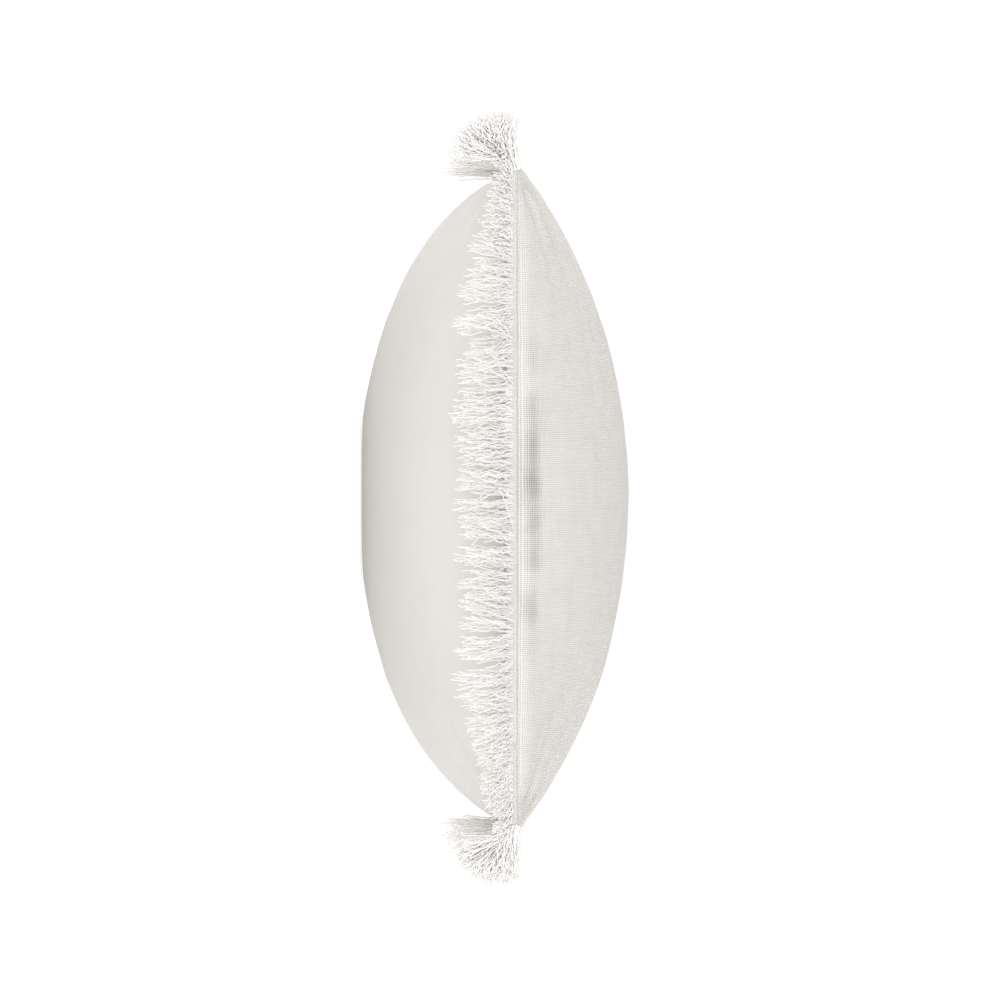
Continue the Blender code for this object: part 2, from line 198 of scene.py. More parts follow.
def shape_panels(mesh, outer):
    """Move the filled cloth to the pillow's own heights: front above the seam, back flattened below it.
    The outer cloth has every crease. The insert inside it only gives way where the cover is pulled in."""
    count = len(mesh.vertices)
    place, normal, flat = (np.zeros(count * 3, np.float32) for _ in range(3))
    mesh.vertices.foreach_get("co", place)
    mesh.vertices.foreach_get("normal", normal)
    mesh.attributes["flat"].data.foreach_get("vector", flat)
    place, normal, flat = (values.reshape(-1, 3).astype(float) for values in (place, normal, flat))
    highest = np.abs(place[:, 2]).max()
    front_rise = PILLOW_HEIGHT - SEAM_HEIGHT - SEAM_GAP
    back_rise = SEAM_HEIGHT - SEAM_GAP + REST_FLATTENING
    seam_gap_shades = np.zeros(count, np.float32)
    for index in np.flatnonzero(np.abs(place[:, 2]) > 1e-6):
        direction = 1 if place[index, 2] > 0 else -1
        share = abs(place[index, 2]) / highest
        if direction > 0:
            rise = front_rise * (share ** 1.12 + rim_lift(share))
        else:
            rise = back_rise * share ** 0.79
        on_cut = Vector(flat[index])
        out = crease_depth(on_cut, direction)
        out = max(out if outer else min(0.0, out), -0.42 * rise)
        # Painted shade: the front's outer cloth carries how much its gaps beside the seams are darkened.
        seam_gap_shades[index] = seam_pull_and_shade(on_cut) if outer and direction > 0 else 0.0
        place[index] += normal[index] * out * (1, 1, 0)
        place[index, 2] = direction * rise + normal[index, 2] * out
    mesh.vertices.foreach_set("co", place.astype(np.float32).ravel())
    mesh.attributes.new("seam_gap_shade", "FLOAT", "POINT").data.foreach_set("value", seam_gap_shades)


def finer(mesh):
    """The same cloth with every cell split and smoothed, so that narrow creases hold their shape."""
    holder = bpy.data.objects.new("finer_cloth", mesh)
    scene.collection.objects.link(holder)
    smooth = holder.modifiers.new("smooth", "SUBSURF")
    smooth.levels = smooth.render_levels = 1
    smooth.boundary_smooth = "PRESERVE_CORNERS"
    return settled_mesh(holder)


fine_mesh = finer(cloth_mesh)
shape_panels(fine_mesh, True)
shape_panels(cloth_mesh, False)


def panel_mesh(name, source, back, squeeze=1.0, height=1.0, gap=SEAM_GAP, lip=0.0):
    """One side of the filled cloth. The insert uses the same cloth shape, squeezed to lie inside."""
    bm = bmesh.new()
    bm.from_mesh(source)
    layer = bm.faces.layers.int["back"]
    if back is not None:
        other = [face for face in bm.faces if bool(face[layer]) != back]
        bmesh.ops.delete(bm, geom=other, context="FACES")
    flat = bm.verts.layers.float_vector["flat"]
    cut = bm.loops.layers.uv.new("cut")
    for face in bm.faces:
        for loop in face.loops:
            loop[cut].uv = loop.vert[flat].xy
    floor = (1 - height) * INSERT_LIFT
    for vert in bm.verts:
        share = vert[flat] / (CUT_WIDTH / 2)
        from_seam = (1 - max(abs(share.x), abs(share.y))) * CUT_WIDTH / 2
        outwards = Vector((math.copysign(abs(share.x) ** 40, share.x),
                           math.copysign(abs(share.y) ** 40, share.y), 0))
        if lip and outwards.length > 1e-9:
            rolled = outwards.normalized() * lip - Vector((0, 0, LIP_DROP))
            vert.co += rolled * fade(from_seam, LIP_REACH)
        vert.co.x *= squeeze
        vert.co.y *= squeeze
        side = 0.0 if back is None else (-gap if back else gap)
        above = SEAM_HEIGHT + side + vert.co.z * height - floor
        vert.co.z = floor + 0.5 * (above + math.hypot(above, CONTACT_SOFTNESS))
    mesh = bpy.data.meshes.new(name)
    bm.to_mesh(mesh)
    bm.free()
    return mesh


def give_thickness(piece, thickness):
    """Cloth has its outside where the mesh is, and its thickness inwards."""
    wall = piece.modifiers.new("cloth thickness", "SOLIDIFY")
    wall.thickness = thickness
    wall.offset = -1.0


def add_node(tree, kind, inputs=(), **settings):
    """Add a shader node. inputs pairs a socket with a value or with the socket that feeds it."""
    made = tree.nodes.new("ShaderNode" + kind)
    for setting, value in settings.items():
        setattr(made, setting, value)
    for socket, value in inputs:
        if isinstance(value, bpy.types.NodeSocket):
            tree.links.new(value, made.inputs[socket])
        else:
            made.inputs[socket].default_value = value
    return made


def math_node(tree, operation, first, second=0.0):
    """The result of one sum. Each number is a value or the socket that gives it."""
    return add_node(tree, "Math", ((0, first), (1, second)), operation=operation).outputs[0]


def new_group(name, inputs, outputs):
    """Start a shader node group. Each socket is given by its name, kind and, for an input, its value."""
    group = bpy.data.node_groups.new(name, "ShaderNodeTree")
    for socket, kind, value in inputs:
        made = group.interface.new_socket(name=socket, in_out="INPUT", socket_type=kind)
        if value is not None:
            made.default_value = value
    for socket, kind in outputs:
        group.interface.new_socket(name=socket, in_out="OUTPUT", socket_type=kind)
    return group, group.nodes.new("NodeGroupInput"), group.nodes.new("NodeGroupOutput")


def make_weave_group():
    """Plain weave over a pattern in metres: the height of the threads, and how light each spot is.
    Threads cross over and under, uneven where they were spun thick or thin, with small dark neps.
    A spot is coloured darker the lower it lies between the threads, as painted shade in the weave's
    hollows."""
    group, given, out = new_group(
        "plain weave",
        (("Pattern", "NodeSocketVector", None), ("Warp pitch", "NodeSocketFloat", 0.001),
         ("Weft pitch", "NodeSocketFloat", 0.001), ("Unevenness", "NodeSocketFloat", 0.3)),
        (("Height", "NodeSocketFloat"), ("Lightness", "NodeSocketFloat")))
    across = add_node(group, "SeparateXYZ", ((0, given.outputs["Pattern"]),))
    waves = []
    for axis, pitch, stretch in ((0, "Warp pitch", (900, 45, 1)), (1, "Weft pitch", (45, 900, 1))):
        spun = add_node(group, "Mapping", (("Vector", given.outputs["Pattern"]), ("Scale", stretch)))
        wander = add_node(group, "TexNoise", (("Vector", spun.outputs[0]), ("Scale", 1.0), ("Detail", 1.0)))
        shift = math_node(group, "SUBTRACT", wander.outputs["Fac"], 0.5)
        shift = math_node(group, "MULTIPLY", shift, given.outputs["Unevenness"])
        place = math_node(group, "DIVIDE", across.outputs[axis], given.outputs[pitch])
        place = math_node(group, "MULTIPLY", math_node(group, "ADD", place, shift), math.pi)
        waves.append(math_node(group, "SINE", place))
    product = math_node(group, "MULTIPLY", waves[0], waves[1])
    warp = math_node(group, "ADD", math_node(group, "ABSOLUTE", waves[0]), product)
    weft = math_node(group, "SUBTRACT", math_node(group, "ABSOLUTE", waves[1]), product)
    height = math_node(group, "MULTIPLY", math_node(group, "MAXIMUM", warp, weft), 0.5)
    group.links.new(height, out.inputs["Height"])
    pattern = ("Vector", given.outputs["Pattern"])
    cloud = add_node(group, "TexNoise", (pattern, ("Scale", 55.0), ("Detail", 4.0)))
    neps = add_node(group, "TexNoise", (pattern, ("Scale", 420.0), ("Detail", 1.0)))
    spots = add_node(group, "MapRange", ((0, neps.outputs["Fac"]), (1, 0.66), (2, 0.74),
                                         (3, 0.0), (4, 0.16)))
    # Painted shade: the lower a spot lies between the threads, the darker it is coloured.
    base = add_node(group, "MapRange", ((0, height), (1, 0.0), (2, 0.55), (3, 0.0), (4, 0.85)))
    clouded = math_node(group, "MULTIPLY", cloud.outputs["Fac"], 0.3)
    lightness = math_node(group, "ADD", base.outputs[0], clouded)
    lightness = math_node(group, "SUBTRACT", lightness, spots.outputs[0])
    group.links.new(lightness, out.inputs["Lightness"])
    return group


weave_group = make_weave_group()


def woven_cloth(name, thread, shade, warp, weft, unevenness=0.3, relief=0.0003, strength=0.6, uv="cut"):
    """Cotton cloth: thread is its colour on top of the threads, shade its colour between them,
    which is painted shade in the hollows of the weave. Beside the front's seams the gaps get more painted
    shade.
    """
    mat = bpy.data.materials.new(name)
    mat.use_nodes = True
    tree = mat.node_tree
    shader = tree.nodes["Principled BSDF"]
    if uv:
        pattern = add_node(tree, "UVMap", uv_map=uv).outputs[0]
    else:
        pattern = add_node(tree, "TexCoord").outputs["Object"]
    weave = add_node(tree, "Group", node_tree=weave_group)
    tree.links.new(pattern, weave.inputs["Pattern"])
    weave.inputs["Warp pitch"].default_value = warp
    weave.inputs["Weft pitch"].default_value = weft
    weave.inputs["Unevenness"].default_value = unevenness
    # Painted shade: beside the front's seams the gaps between the threads are coloured darker still.
    seam_gap_shade = add_node(tree, "Attribute", attribute_name="seam_gap_shade", attribute_type="GEOMETRY").outputs["Fac"]
    gaps = math_node(tree, "SUBTRACT", 1.7, math_node(tree, "MULTIPLY", weave.outputs["Height"], 1.6))
    painted_gap_shade = math_node(tree, "MULTIPLY", seam_gap_shade, gaps)
    lightness = math_node(tree, "SUBTRACT", weave.outputs["Lightness"], painted_gap_shade)
    colour = add_node(tree, "Mix", ((0, lightness), (6, (*shade, 1)), (7, (*thread, 1))), data_type="RGBA")
    tree.links.new(colour.outputs[2], shader.inputs["Base Color"])
    rough = add_node(tree, "MapRange", ((0, weave.outputs["Height"]), (1, 0.0), (2, 1.0),
                                        (3, 0.98), (4, 0.86)))
    tree.links.new(rough.outputs[0], shader.inputs["Roughness"])
    bump = add_node(tree, "Bump", (("Strength", strength), ("Distance", relief),
                                   ("Height", weave.outputs["Height"])))
    tree.links.new(bump.outputs[0], shader.inputs["Normal"])
    shader.inputs["Specular IOR Level"].default_value = 0.25
    shader.inputs["Sheen Weight"].default_value = 0.12
    shader.inputs["Sheen Roughness"].default_value = 0.5
    return mat


def add_piece(name, mesh, mat, body="cover", stands_for=()):
    """Link a finished mesh as a piece that rides on a body and stands for CAD nodes."""
    piece = bpy.data.objects.new(name, mesh)
    scene.collection.objects.link(piece)
    mesh.materials.clear()
    mesh.materials.append(mat)
    mesh.polygons.foreach_set("use_smooth", [True] * len(mesh.polygons))
    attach(piece, body)
    if stands_for:
        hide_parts(*stands_for)
    return piece


# The second colour of each cloth is painted shade, for the hollows between its threads.
front_cotton = woven_cloth("front open-weave cotton", (0.79, 0.76, 0.73), (0.30, 0.285, 0.265),
                           warp=0.00132, weft=0.00127, relief=0.0006, strength=0.8)
back_cotton = woven_cloth("back close-weave cotton", (0.72, 0.70, 0.675), (0.56, 0.54, 0.515),
                          warp=0.00062, weft=0.00058, unevenness=0.25)
for side, back, cotton in (("front", False, front_cotton), ("back", True, back_cotton)):
    mesh = panel_mesh("cover_" + side, fine_mesh, back, lip=0.0 if back else 0.0018)
    panel = add_piece("cover_" + side, mesh, cotton, stands_for=(side + "_panel",))
    give_thickness(panel, CLOTH_THICKNESS)

# ---------------------------------------------------------------- insert
# A plain white inner bag, sewn shut and filled with polyester fibre, fills the cover almost to
# its seams. It shows only when the cover is open.
CASING_THICKNESS = 0.0005
casing_cotton = woven_cloth("insert casing cotton", (0.86, 0.86, 0.85), (0.76, 0.76, 0.75),
                            warp=0.0003, weft=0.0003, unevenness=0.2, relief=0.0001, strength=0.4)
fibre = woven_cloth("polyester fibre", (0.9, 0.9, 0.9), (0.7, 0.7, 0.7),
                    warp=0.003, weft=0.005, unevenness=2.5, relief=0.002, strength=1.0)
for side, back in (("front", False), ("back", True)):
    mesh = panel_mesh("insert_bag_" + side, cloth_mesh, back, squeeze=0.955, height=0.96, gap=0.0004)
    casing = add_piece("insert_bag_" + side, mesh, casing_cotton,
                       stands_for=("insert_casing_" + side,))
    give_thickness(casing, CASING_THICKNESS)
mesh = panel_mesh("insert_stuffing", cloth_mesh, None, squeeze=0.935, height=0.93)
stuffing = add_piece("insert_stuffing", mesh, fibre, stands_for=("fibre_fill",))

# ---------------------------------------------------------------- fringe heading
# The fringe is bought as a woven cotton tape. One edge is caught in the seam, and the rest turns
# down over the back panel as a narrow ribbed band, held flat by a row of stitches near its fold.
HEADING_THICKNESS = 0.0010
HEADING_BOTTOM = 0.0068     # below the seam
HEADING_HALF = 0.2072       # half of its length along one side
HEADING_FACE = 0.0018       # how far its outside stands off the seam
ZIP_BULGE_HALF = 0.207      # half of the length that stands further out over the zip
ZIP_BULGE_EASE = 0.022      # over which that bulge comes back to the seam
TURNS = {"near": 0, "right": 90, "far": 180, "left": 270}


def seam_out(along):
    """How far the seam stands from the middle of the pillow, at a place along one side."""
    return HALF_MIDDLE + EAR_LENGTH * (along / HALF_CORNER) ** 2


FAR_STAND_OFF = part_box("header_tape_far")[1].y - seam_out(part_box("header_tape_far")[1].x) - 0.0012


def side_point(side, along, out, up):
    """A point given along a side, out from the middle of the pillow, and up."""
    turn = math.radians(TURNS[side])
    return Vector((along * math.cos(turn) + out * math.sin(turn),
                   along * math.sin(turn) - out * math.cos(turn), up))


def stand_off(side, along):
    """The far heading stands further out over the zip and comes back to the seam near the corners."""
    if side != "far":
        return 0.0
    return FAR_STAND_OFF * min(1.0, max(0.0, (ZIP_BULGE_HALF - abs(along)) / ZIP_BULGE_EASE))


def heading_mesh(side):
    """The tape's profile runs from the seam allowance over the fold and down to its lower edge."""
    profile = ((-0.0055, 0.0), (-0.0028, 0.0003), (-0.0004, 0.0005), (0.0006, 0.0004), (0.0013, -0.0004),
               (0.0017, -0.0018), (HEADING_FACE, -0.0035), (HEADING_FACE, -0.0052),
               (0.0016, -HEADING_BOTTOM))
    rows = len(profile) - 1
    bm = bmesh.new()
    tape = bm.loops.layers.uv.new("cut")
    bmesh.ops.create_grid(bm, x_segments=260, y_segments=rows, size=0.5)
    for vert in bm.verts:
        row = round((0.5 - vert.co.y) * rows)
        along = 2 * HEADING_HALF * vert.co.x
        out, up = profile[row]
        hang = row / rows
        for loop in vert.link_loops:
            loop[tape].uv = (along, 0.0016 * row)
        reach = stand_off(side, along)
        spread = out + reach * min(1.0, hang * 2.7) if out > -0.005 else out
        ripple = noise.noise(Vector((along * 55, TURNS[side], hang))) * 0.0011 * hang
        lift = noise.noise(Vector((along * 38, TURNS[side] + 9, 0))) * 0.0008 * hang
        vert.co = side_point(side, along, seam_out(along) + spread + abs(ripple), SEAM_HEIGHT + up + lift)
    bm.normal_update()
    lowest = min(bm.faces, key=lambda face: face.calc_center_median().z)
    if lowest.normal.dot(side_point(side, 0, 1, 0)) < 0:
        bmesh.ops.reverse_faces(bm, faces=bm.faces)
    mesh = bpy.data.meshes.new("heading_" + side)
    bm.to_mesh(mesh)
    bm.free()
    return mesh


heading_cotton = woven_cloth("fringe heading cotton", (0.92, 0.90, 0.875), (0.66, 0.64, 0.615),
                             warp=0.0012, weft=0.0006, unevenness=0.4, relief=0.0006, strength=1.0)
for side in TURNS:
    heading = add_piece("heading_" + side, heading_mesh(side), heading_cotton,
                        stands_for=("header_tape_" + side,))
    wall = heading.modifiers.new("tape thickness", "SOLIDIFY")
    wall.thickness = HEADING_THICKNESS
    wall.offset = -1.0
    rounded = heading.modifiers.new("soft edges", "BEVEL")
    rounded.width = 0.0003
    rounded.segments = 2

# ---------------------------------------------------------------- heading stitches
# A lockstitch in thick cotton thread runs along the fold of the heading, through all layers.
STITCH_PITCH = 0.0034
STITCH_LENGTH = 0.0028
STITCH_RADIUS = 0.0003
STITCH_DROP = 0.0014        # below the seam
STITCHED_LENGTH = 0.404     # along one side


def thread_mesh(name, paths, radius, taper=(1.0, 1.0)):
    """Round threads along lists of points. Each thread gets its own shade, from 0 to 1."""
    curve = bpy.data.curves.new(name, "CURVE")
    curve.dimensions = "3D"
    curve.bevel_depth = radius
    curve.bevel_resolution = 0
    curve.use_fill_caps = True
    for points in paths:
        spline = curve.splines.new("POLY")
        spline.points.add(len(points) - 1)
        spline.points.foreach_set("co", [value for point in points for value in (*point, 1.0)])
        last = len(points) - 1
        spline.points.foreach_set("radius", [taper[0] + (taper[1] - taper[0]) * step / last
                                             for step in range(last + 1)])
    holder = bpy.data.objects.new(name, curve)
    scene.collection.objects.link(holder)
    mesh = settled_mesh(holder)
    mesh.name = name
    shades = random.Random(len(paths))
    values = [shade for points in paths for shade in [shades.random()] * (4 * len(points))]
    if len(values) == len(mesh.vertices):
        mesh.attributes.new("shade", "FLOAT", "POINT").data.foreach_set("value", values)
    return mesh


def cotton_thread(name, light, dark):
    """Spun cotton thread: its twist shows as fine bumps, and each thread has its own shade."""
    mat = bpy.data.materials.new(name)
    mat.use_nodes = True
    tree = mat.node_tree
    shader = tree.nodes["Principled BSDF"]
    own = add_node(tree, "Attribute", attribute_name="shade", attribute_type="GEOMETRY").outputs["Fac"]
    place = add_node(tree, "TexCoord").outputs["Object"]
    lint = add_node(tree, "TexNoise", (("Vector", place), ("Scale", 900.0), ("Detail", 2.0)))
    amount = math_node(tree, "ADD", math_node(tree, "MULTIPLY", own, 0.65),
                      math_node(tree, "MULTIPLY", lint.outputs["Fac"], 0.45))
    colour = add_node(tree, "Mix", ((0, amount), (6, (*dark, 1)), (7, (*light, 1))), data_type="RGBA")
    tree.links.new(colour.outputs[2], shader.inputs["Base Color"])
    rough = add_node(tree, "MapRange", ((0, lint.outputs["Fac"]), (1, 0.0), (2, 1.0),
                                        (3, 0.85), (4, 0.97)))
    tree.links.new(rough.outputs[0], shader.inputs["Roughness"])
    bump = add_node(tree, "Bump", (("Strength", 0.4), ("Distance", 0.00025),
                                   ("Height", lint.outputs["Fac"])))
    tree.links.new(bump.outputs[0], shader.inputs["Normal"])
    shader.inputs["Specular IOR Level"].default_value = 0.25
    shader.inputs["Sheen Weight"].default_value = 0.15
    shader.inputs["Sheen Roughness"].default_value = 0.5
    return mat


def stitch_paths(side):
    """Each stitch dips into the tape at both ends and lies proud of it in between."""
    dips = ((-0.5, 0.0004), (-0.3, -0.00015), (0.0, -0.0003), (0.3, -0.00015), (0.5, 0.0004))
    wobble = random.Random(TURNS[side] + 3)
    count = int(STITCHED_LENGTH / STITCH_PITCH)
    paths = []
    for stitch in range(count):
        middle = (stitch - (count - 1) / 2) * STITCH_PITCH
        up = SEAM_HEIGHT - STITCH_DROP + wobble.uniform(-0.00012, 0.00012)
        tilt = wobble.uniform(-0.0001, 0.0001)
        points = []
        for share, sink in dips:
            along = middle + share * STITCH_LENGTH
            out = seam_out(along) + HEADING_FACE + stand_off(side, along) * 0.99 - sink
            points.append(side_point(side, along, out, up + tilt * share))
        paths.append(points)
    return paths


stitch_thread = cotton_thread("heading stitch thread", (0.88, 0.865, 0.84), (0.78, 0.765, 0.74))
for side in TURNS:
    mesh = thread_mesh("stitches_" + side, stitch_paths(side), STITCH_RADIUS)
    add_piece("stitches_" + side, mesh, stitch_thread,
              stands_for=("seam_thread_" + side,))

# ---------------------------------------------------------------- side fringe
# Soft plied cotton ends, cut to a rough length, spring out of the heading and droop in locks that
# cling together and part here and there. Over the closed zip slider they are held aside.
FRINGE_LENGTH = {"near": 0.0345, "far": 0.0345, "left": 0.0395, "right": 0.0395}
FRINGE_RADIUS = 0.00038
STRANDS_PER_METRE = 3300
FRINGE_HALF = 0.2068        # half of the length that carries strands
PARTING = (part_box("zip_slider")[0].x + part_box("zip_slider")[1].x) / 2
PARTING_HALF = 0.0225       # half of the opening left over the closed slider
STRAND_STEPS = 14
CORNER_START, CORNER_EASE = 0.115, 0.060    # where strands begin to lean and shorten towards a corner
END_START, END_EASE = 0.180, 0.018          # where they shorten again, beside the corner's own fringe
# In degrees: how far a strand leans down from level where it starts, how much that varies, and
# how far it sags on its way to the tip.
DROOP = {"near": (44, 28, 30), "far": (50, 22, 30), "left": (38, 42, 9), "right": (38, 42, 9)}


def smooth_step(value):
    value = min(1.0, max(0.0, value))
    return value * value * (3 - 2 * value)


def crimped(draw, points, amount):
    """Spun cotton keeps the crinkles of its twist: every point past the root wanders a little."""
    kinks = [Vector((draw.gauss(0, amount), draw.gauss(0, amount), draw.gauss(0, amount))) for _ in points]
    return [point + kink * min(1.0, step / 3) for step, (point, kink) in enumerate(zip(points, kinks))]


def side_strand(draw, side, root, centre, lock):
    """One strand, from the face of the heading to its cut end."""
    lean, lock_length, lock_droop = lock
    near_corner = smooth_step((abs(root) - CORNER_START) / CORNER_EASE)
    middle, spread, sag = DROOP[side]
    droop = middle * (1 - 0.2 * near_corner) + lock_droop + draw.uniform(-spread, spread)
    last_droop = min(94.0, droop + sag * draw.uniform(0.4, 1.5))
    droop, last_droop = math.radians(max(-6.0, droop)), math.radians(last_droop)
    lean += draw.gauss(0, 0.11) + math.copysign(0.20 * near_corner, root)
    if draw.random() < 0.05:
        lean += draw.gauss(0, 0.4)
    at_end = smooth_step((abs(root) - END_START) / END_EASE)
    reach = FRINGE_LENGTH[side] * lock_length * draw.uniform(0.86, 1.04)
    reach *= 1 - 0.40 * near_corner - 0.22 * at_end
    stride = reach / STRAND_STEPS
    gather = (centre - root) * draw.uniform(0.2, 0.8)
    wave, turns, phase = draw.uniform(0.0002, 0.0009), draw.uniform(1.2, 3.4), draw.uniform(0, 2 * math.pi)
    depth = draw.uniform(0.0024, HEADING_BOTTOM - 0.0004)
    along, up = root, SEAM_HEIGHT - depth
    out = seam_out(root) + stand_off(side, root) + draw.uniform(0.0016, 0.0024)
    swept = 0.0
    if side == "far" and abs(-root - PARTING) < PARTING_HALF:
        swept = math.copysign(PARTING_HALF, root + PARTING) - (root + PARTING)
        swept *= draw.uniform(1.0, 1.35)
    points = []
    for step in range(STRAND_STEPS + 1):
        share = step / STRAND_STEPS
        swing = wave * math.sin(phase + 2 * math.pi * turns * share) * min(1.0, 3 * share)
        clung = gather * smooth_step(share * 1.3)
        points.append(side_point(side, along + clung + swing, out + abs(swing) * 0.5, up))
        travelled = reach * share
        falling = droop + (last_droop - droop) * share
        aside = smooth_step((abs(swept) - travelled) / 0.009 + 0.3) if swept else 0.0
        held, free = stride * aside, stride * (1 - aside)
        along += math.copysign(held, swept) * 0.97 + free * math.sin(lean)
        out += held * 0.14 + free * math.cos(lean) * math.cos(falling)
        up -= held * 0.12 + free * math.cos(lean) * math.sin(falling)
    return crimped(draw, points, 0.00022)


def fringe_paths(side):
    """Strands spring up in locks from one end of the heading to the other, more of them near a corner."""
    draw = random.Random(TURNS[side] + 11)
    paths = []
    edge = -FRINGE_HALF
    while edge < FRINGE_HALF - 0.001:
        width = min(draw.uniform(0.004, 0.0105), FRINGE_HALF - edge)
        lock = draw.gauss(0, 0.12), draw.uniform(0.86, 1.06), draw.gauss(0, 5)
        centre = edge + width * draw.uniform(0.3, 0.7)
        crowded = 1 + 0.5 * smooth_step((abs(centre) - 0.13) / 0.04)
        for _ in range(max(3, int(width * STRANDS_PER_METRE * crowded))):
            paths.append(side_strand(draw, side, edge + width * draw.random(), centre, lock))
        edge += width + draw.choice((0.0, 0.0, 0.0, 0.0004, 0.0010))
    return paths


fringe_cotton = cotton_thread("fringe cotton", (0.965, 0.952, 0.932), (0.915, 0.90, 0.878))
for side in TURNS:
    mesh = thread_mesh("side_fringe_" + side, fringe_paths(side), FRINGE_RADIUS, (1.0, 0.75))
    add_piece("side_fringe_" + side, mesh, fringe_cotton, stands_for=("fringe_" + side,))

# ---------------------------------------------------------------- corner fringe
# Where the fringe turns a corner its ends are gathered into a short neck and then burst apart like
# a brush: half a round fan that points out and down, with the cut ends at every angle.
CORNER_STRANDS = 2000
CORNER_STEPS = 10
CLUMPS = 70                 # bundles that the strands of one corner cling to
CORNER_RADIUS = 0.0004
NECK_LENGTH = 0.006         # of the gathered neck, before the strands burst apart
CORNERS = {"far_right": 45, "far_left": 135, "near_left": 225, "near_right": 315}


def corner_paths(degrees):
    """The fan is turned a little towards the left or right side, whose fringe it mostly comes from."""
    draw = random.Random(degrees)
    corner = math.radians(degrees)
    plan = corner - 0.58 * math.sin(2 * corner)
    outward = Vector((math.cos(plan), math.sin(plan), 0))
    across = Vector((-math.sin(plan), math.cos(plan), 0))
    down = Vector((0, 0, -1))
    neck = Vector((math.cos(corner), math.sin(corner), 0)) * (math.sqrt(2) * HALF_CORNER - NECK_LENGTH)
    neck.z = SEAM_HEIGHT - 0.005
    clumps = [(draw.gauss(0, 0.30), draw.uniform(-0.06, 1.36), draw.uniform(0.92, 1.05))
              for _ in range(CLUMPS)]
    paths = []
    for _ in range(CORNER_STRANDS):
        swing, dip, length = draw.choice(clumps)
        swing += draw.gauss(0, 0.15)
        dip += draw.gauss(0, 0.10)
        aim = outward * math.cos(dip) + down * math.sin(dip)
        aim = (aim * math.cos(swing) + across * math.sin(swing)).normalized()
        reach = (0.0280 + 0.0050 * max(0.0, math.sin(dip))) * length * draw.triangular(0.6, 1.02, 1.0)
        start = neck + across * draw.gauss(0, 0.0030) + down * draw.gauss(0, 0.0024)
        wave, turns = draw.uniform(0.0004, 0.0014), draw.uniform(1.4, 3.6)
        phase = draw.uniform(0, 2 * math.pi)
        bend = draw.gauss(0, 0.0025)
        points = []
        for step in range(CORNER_STEPS + 1):
            share = step / CORNER_STEPS
            through_neck = (outward + 0.3 * down) * NECK_LENGTH * min(1.0, share * 5)
            angle = phase + 2 * math.pi * turns * share
            curl = across * (wave * math.sin(angle) + bend * share * share)
            curl = curl + down * wave * math.cos(angle) * 0.7
            points.append(start + through_neck + aim * reach * max(0.0, share - 0.1) / 0.9
                          + curl * min(1.0, 3 * share))
        paths.append(crimped(draw, points, 0.00048))
    return paths


for corner, degrees in CORNERS.items():
    mesh = thread_mesh("corner_brush_" + corner, corner_paths(degrees), CORNER_RADIUS, (1.0, 0.9))
    add_piece("corner_brush_" + corner, mesh, fringe_cotton,
              stands_for=("corner_fringe_" + corner,))

# ---------------------------------------------------------------- zip
# A nylon coil zip lets the insert out through the far side, just below the seam and behind the
# fringe. Its woven tapes are sewn to the back panel, and its slider is painted to match the cloth.
TOOTH_PITCH = 0.00125
COIL_RADIUS = 0.00032
COIL_STEPS = 8              # points in one turn of the coil


def coil_path(low, high, mirrored):
    """One row of the coil: a flattened spiral of nylon line, as wide and deep as the row of teeth."""
    turns = int((high.x - low.x) / TOOTH_PITCH)
    middle = (low + high) / 2
    deep = (high.y - low.y) / 2 - COIL_RADIUS
    wide = (high.z - low.z) / 2 - COIL_RADIUS
    points = []
    for step in range(turns * COIL_STEPS + 1):
        angle = 2 * math.pi * step / COIL_STEPS
        x = low.x + COIL_RADIUS + (high.x - low.x - 2 * COIL_RADIUS) * step / (turns * COIL_STEPS)
        points.append((x, middle.y + deep * math.sin(angle), middle.z + wide * mirrored * math.cos(angle)))
    return points


def plain_finish(name, colour, roughness):
    """Moulded or painted finish with a fine grain in its colour, its roughness and its surface."""
    mat = bpy.data.materials.new(name)
    mat.use_nodes = True
    tree = mat.node_tree
    shader = tree.nodes["Principled BSDF"]
    place = add_node(tree, "TexCoord").outputs["Object"]
    fine = add_node(tree, "TexNoise", (("Vector", place), ("Scale", 700.0), ("Detail", 3.0)))
    darker = tuple(0.86 * part for part in colour)
    shades = add_node(tree, "Mix", ((0, fine.outputs["Fac"]), (6, (*darker, 1)), (7, (*colour, 1))),
                      data_type="RGBA")
    tree.links.new(shades.outputs[2], shader.inputs["Base Color"])
    rough = add_node(tree, "MapRange", ((0, fine.outputs["Fac"]), (1, 0.3), (2, 0.7), (3, roughness),
                                        (4, roughness + 0.15)))
    tree.links.new(rough.outputs[0], shader.inputs["Roughness"])
    bump = add_node(tree, "Bump", (("Strength", 0.3), ("Distance", 0.0002),
                                   ("Height", fine.outputs["Fac"])))
    tree.links.new(bump.outputs[0], shader.inputs["Normal"])
    return mat


def rounded_copy(node, name, mat, body, width):
    """A small hard piece with the CAD node's own shape and softly rounded edges."""
    bm = bmesh.new()
    bm.from_mesh(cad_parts[node].data)
    bmesh.ops.remove_doubles(bm, verts=bm.verts, dist=0.000001)
    bmesh.ops.dissolve_limit(bm, angle_limit=0.02, verts=bm.verts, edges=bm.edges)
    sharp = [edge for edge in bm.edges if edge.calc_face_angle(0.0) > 0.5]
    bmesh.ops.bevel(bm, geom=sharp, offset=width, affect="EDGES", segments=2, profile=0.5, material=-1)
    mesh = bpy.data.meshes.new(name)
    bm.to_mesh(mesh)
    bm.free()
    piece = add_piece(name, mesh, mat, body, (node,))
    mesh.set_sharp_from_angle(angle=math.radians(50))
    return piece


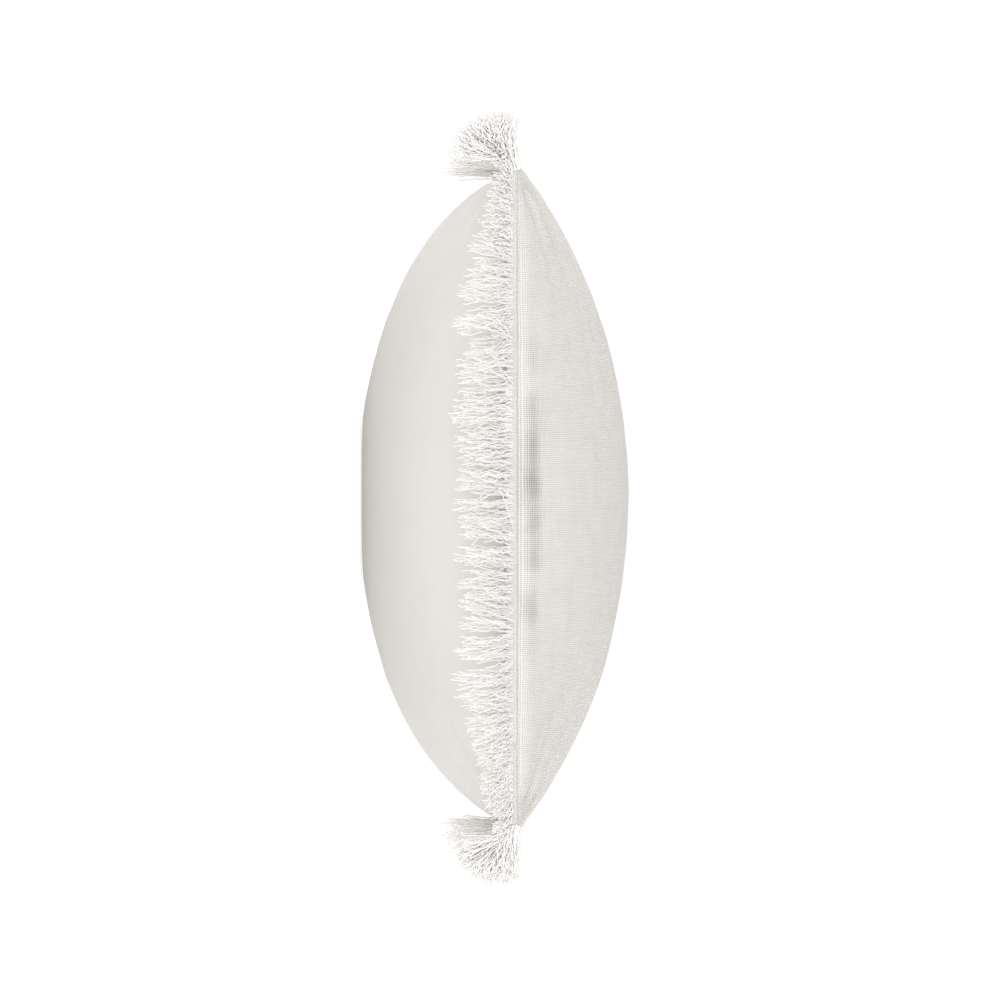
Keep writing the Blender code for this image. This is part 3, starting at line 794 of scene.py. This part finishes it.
nylon = plain_finish("zip nylon", (0.80, 0.78, 0.74), 0.35)
painted_metal = plain_finish("painted zip slider", (0.78, 0.76, 0.73), 0.28)
ribbon = woven_cloth("zip ribbon", (0.82, 0.80, 0.77), (0.66, 0.64, 0.61), warp=0.0006, weft=0.0004,
                     unevenness=0.2, relief=0.0002, uv=None)
for row, mirrored in (("upper", 1), ("lower", -1)):
    low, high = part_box("zip_teeth_" + row)
    mesh = thread_mesh("zip_coil_" + row, [coil_path(low, high, mirrored)], COIL_RADIUS)
    add_piece("zip_coil_" + row, mesh, nylon, stands_for=("zip_teeth_" + row,))
    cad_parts["zip_tape_" + row].data.materials.clear()
    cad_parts["zip_tape_" + row].data.materials.append(ribbon)
for stop in ("zip_top_stop_upper", "zip_top_stop_lower", "zip_bottom_stop"):
    rounded_copy(stop, stop.replace("zip_", "rounded_"), nylon, "cover", 0.0003)
rounded_copy("zip_slider", "slider_body", painted_metal, "slider", 0.0002)
rounded_copy("zip_pull_tab", "slider_tab", painted_metal, "pull_tab", 0.0002)

# ---------------------------------------------------------------- floor and light
# A plain white floor and backdrop with soft light from all round, so that only folds, the seam and
# the gaps between strands are shaded.
floor_bm = bmesh.new()
bmesh.ops.create_grid(floor_bm, x_segments=2, y_segments=2, size=1.6)
floor_mesh = bpy.data.meshes.new("floor")
floor_bm.to_mesh(floor_mesh)
floor_bm.free()
floor = bpy.data.objects.new("floor", floor_mesh)
scene.collection.objects.link(floor)
floor.location.z = -0.0006
floor_paint = bpy.data.materials.new("white floor")
floor_paint.use_nodes = True
floor_tree = floor_paint.node_tree
floor_shader = floor_tree.nodes["Principled BSDF"]
floor_shader.inputs["Base Color"].default_value = (0.85, 0.85, 0.85, 1)
floor_shader.inputs["Roughness"].default_value = 1.0
floor_shader.inputs["Specular IOR Level"].default_value = 0.0
floor_shader.inputs["Emission Color"].default_value = (1, 1, 1, 1)
looked_at = add_node(floor_tree, "LightPath").outputs["Is Camera Ray"]
glow = add_node(floor_tree, "MapRange", ((0, looked_at), (1, 0.0), (2, 1.0), (3, 0.36), (4, 0.55)))
floor_tree.links.new(glow.outputs[0], floor_shader.inputs["Emission Strength"])
floor_mesh.materials.append(floor_paint)

world = bpy.data.worlds.new("studio")
scene.world = world
world.use_nodes = True
sky = world.node_tree
lighting = sky.nodes["Background"]
lighting.inputs["Color"].default_value = (1.0, 1.0, 1.0, 1)
lighting.inputs["Strength"].default_value = 0.84
backdrop = add_node(sky, "Background", (("Color", (1, 1, 1, 1)), ("Strength", 1.0)))
seen = add_node(sky, "LightPath")
choice = add_node(sky, "MixShader", ((0, seen.outputs["Is Camera Ray"]), (1, lighting.outputs[0]),
                                     (2, backdrop.outputs[0])))
sky.links.new(choice.outputs[0], sky.nodes["World Output"].inputs["Surface"])


def soft_light(name, place, size, power):
    """A square softbox that faces the middle of the pillow."""
    lamp_data = bpy.data.lights.new(name, "AREA")
    lamp_data.size = size
    lamp_data.energy = power
    lamp = bpy.data.objects.new(name, lamp_data)
    scene.collection.objects.link(lamp)
    lamp.location = place
    lamp.rotation_euler = (Vector((0, 0, 0.09)) - lamp.location).to_track_quat("-Z", "Y").to_euler()


soft_light("front softbox", (0, -4.0, 0.7), 2.4, 80)
soft_light("left softbox", (-2.8, 0.2, 0.35), 1.6, 40)
soft_light("right softbox", (2.8, 0.2, 0.35), 1.6, 40)
scene.view_settings.view_transform = "Standard"
